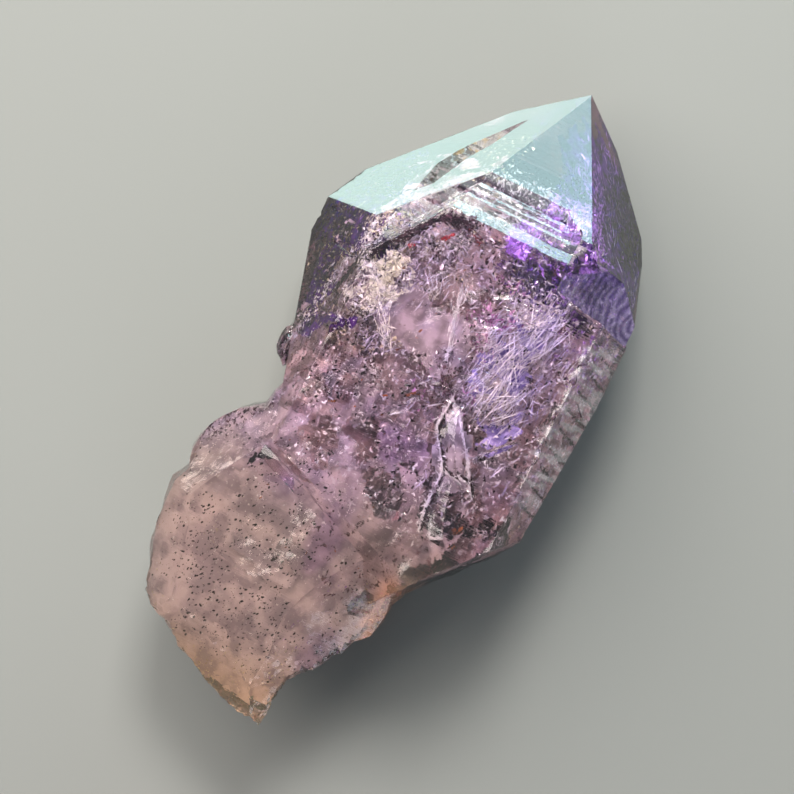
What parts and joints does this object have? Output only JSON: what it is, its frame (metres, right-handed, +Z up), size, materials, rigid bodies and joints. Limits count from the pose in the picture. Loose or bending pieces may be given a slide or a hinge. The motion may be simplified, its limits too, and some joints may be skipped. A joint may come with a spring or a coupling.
{
  "type": "raw amethyst point",
  "caption": "Raw amethyst crystal point with a natural six-sided termination, stepped growth faces and a broken base, lying on one long prism face.",
  "frame": {"origin": "centre of the bounding box's bottom, on the surface that the crystal rests on", "axes": "+Y along the crystal's long axis towards its point, +Z up from the back prism face that it rests on, +X to the right when seen from above with the point away"},
  "size_m": [0.0384, 0.0792, 0.0252],
  "materials": {
    "amethyst": "natural glassy crystal faces, violet at the point and hazy mauve with dark specks at the broken end"
  },
  "bodies": {
    "root": {"crystal": "amethyst"}
  },
  "joints": []
}
